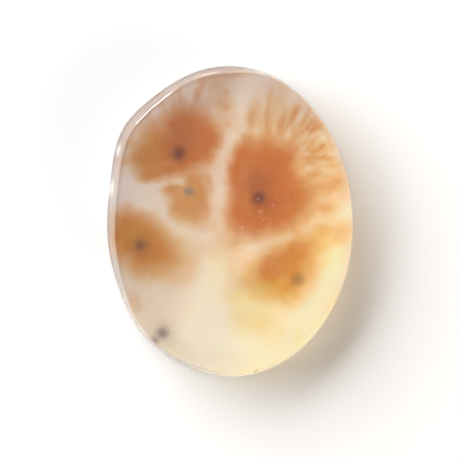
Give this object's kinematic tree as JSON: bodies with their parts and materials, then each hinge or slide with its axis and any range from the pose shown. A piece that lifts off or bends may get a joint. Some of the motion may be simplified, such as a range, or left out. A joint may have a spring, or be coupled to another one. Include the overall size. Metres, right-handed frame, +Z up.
{
  "type": "dendritic agate specimen",
  "caption": "Polished oval piece of translucent dendritic agate with a low domed top, a leaning side and a flat base to rest on.",
  "frame": {"origin": "middle of the stone's outline, on the flat base that it rests on", "axes": "+Z up out of the domed top, +Y along the long way of the oval, +X across it"},
  "size_m": [0.0238, 0.03, 0.006],
  "materials": {
    "agate": "polished"
  },
  "bodies": {
    "root": {"agate_stone": "agate"}
  },
  "joints": []
}
